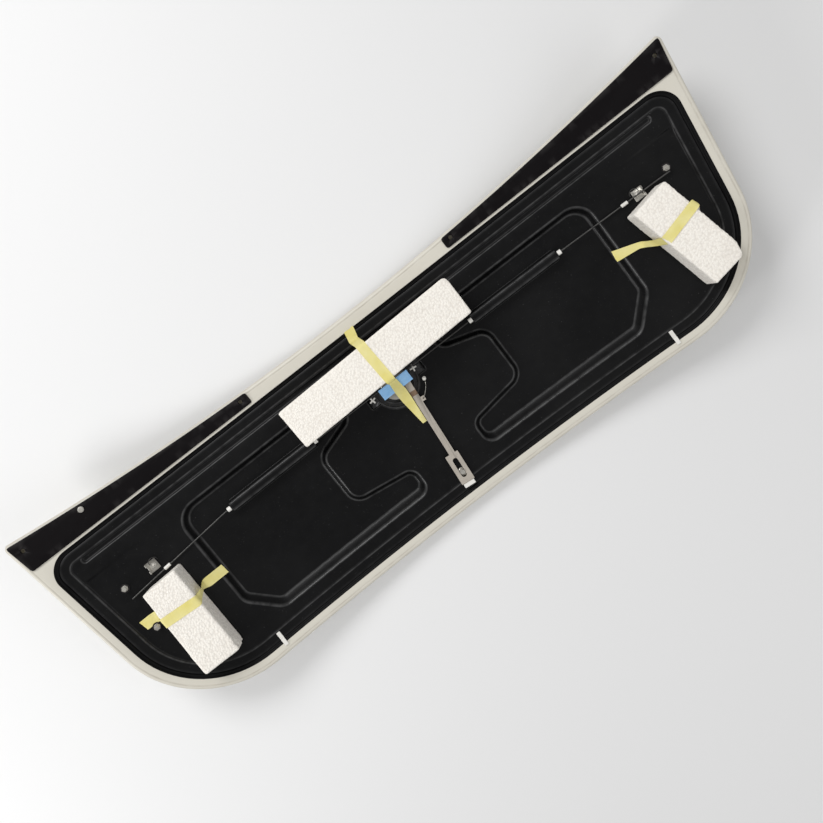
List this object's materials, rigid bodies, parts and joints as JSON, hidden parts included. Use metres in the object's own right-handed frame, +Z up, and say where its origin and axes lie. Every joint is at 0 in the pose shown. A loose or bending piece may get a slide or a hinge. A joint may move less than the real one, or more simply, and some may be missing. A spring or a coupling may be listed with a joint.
{
  "type": "caravan locker lid",
  "caption": "Bowed caravan locker lid, outer face down: beige skin, black inner moulding, central turn lock with a sliding bolt and pull rods, held for transport by foam blocks and tape.",
  "frame": {"origin": "middle of the box's base, under the lowest point of the bowed outer face, which lies on the floor", "axes": "+X along the lid to its right end, +Y towards the hinge edge, +Z up to the inner side"},
  "size_m": [1.5312, 0.507, 0.1612],
  "materials": {
    "skin": "satin",
    "moulding": "satin",
    "seal": "matte",
    "black_plate": "matte",
    "white_plastic": "satin",
    "black_plastic": "satin",
    "zinc_steel": "satin",
    "bare_steel": "satin",
    "foam": "matte",
    "tape": "matte",
    "blue_foam": "matte",
    "handle_plastic": "satin"
  },
  "bodies": {
    "panel": {"outer_skin": "skin", "inner_moulding": "moulding", "edge_seal": "seal", "hinge_plate_left": "black_plate", "hinge_plate_right": "black_plate", "drain_clip_left": "white_plastic", "drain_clip_right": "white_plastic", "rod_cover_left": "black_plastic", "rod_cover_right": "black_plastic", "rod_bush_left_inner": "white_plastic", "rod_bush_left_outer": "white_plastic", "rod_bush_right_inner": "white_plastic", "rod_bush_right_outer": "white_plastic", "rod_bracket_left": "zinc_steel", "rod_bracket_right": "zinc_steel", "stud_left_upper": "zinc_steel", "stud_left_lower": "zinc_steel", "stud_right_upper": "zinc_steel", "stud_right_lower": "zinc_steel", "lock_housing": "black_plastic", "handle_cup": "black_plastic", "guide_screw": "zinc_steel", "spring_stud": "white_plastic", "packing_block_centre": "foam", "packing_block_left": "foam", "packing_block_right": "foam", "tape_centre": "tape", "tape_left": "tape", "tape_right": "tape", "blue_pad": "blue_foam"},
    "lock": {"turn_handle": "handle_plastic", "lock_cam": "bare_steel"},
    "bolt": {"bolt_arm": "bare_steel", "bolt_tip": "white_plastic"},
    "rod_left": {"pull_rod_left": "bare_steel", "rod_ferrule_left": "white_plastic"},
    "rod_right": {"pull_rod_right": "bare_steel", "rod_ferrule_right": "white_plastic"}
  },
  "joints": [
    {"name": "handle_turn", "type": "hinge", "parent": "panel", "child": "lock", "pos_m": [0, 0.037, 0.01], "axis": [0, 0, 1], "range_deg": [-60, 8]},
    {"name": "bolt_slide", "type": "slide", "parent": "panel", "child": "bolt", "axis": [-0.0958, -0.9954, 0], "range_m": [-0.0029, 0.0218]},
    {"name": "rod_left_slide", "type": "slide", "parent": "panel", "child": "rod_left", "axis": [-0.9916, 0, 0.129], "range_m": [-0.0017, 0.0121]},
    {"name": "rod_right_slide", "type": "slide", "parent": "panel", "child": "rod_right", "axis": [0.9916, 0, 0.129], "range_m": [-0.0017, 0.0121]}
  ],
  "couplings": [
    {"joint": "handle_turn", "follows": "bolt_slide", "rad_per_m": -47.847},
    {"joint": "rod_left_slide", "follows": "bolt_slide", "ratio": 0.54833},
    {"joint": "rod_right_slide", "follows": "bolt_slide", "ratio": 0.54833}
  ]
}
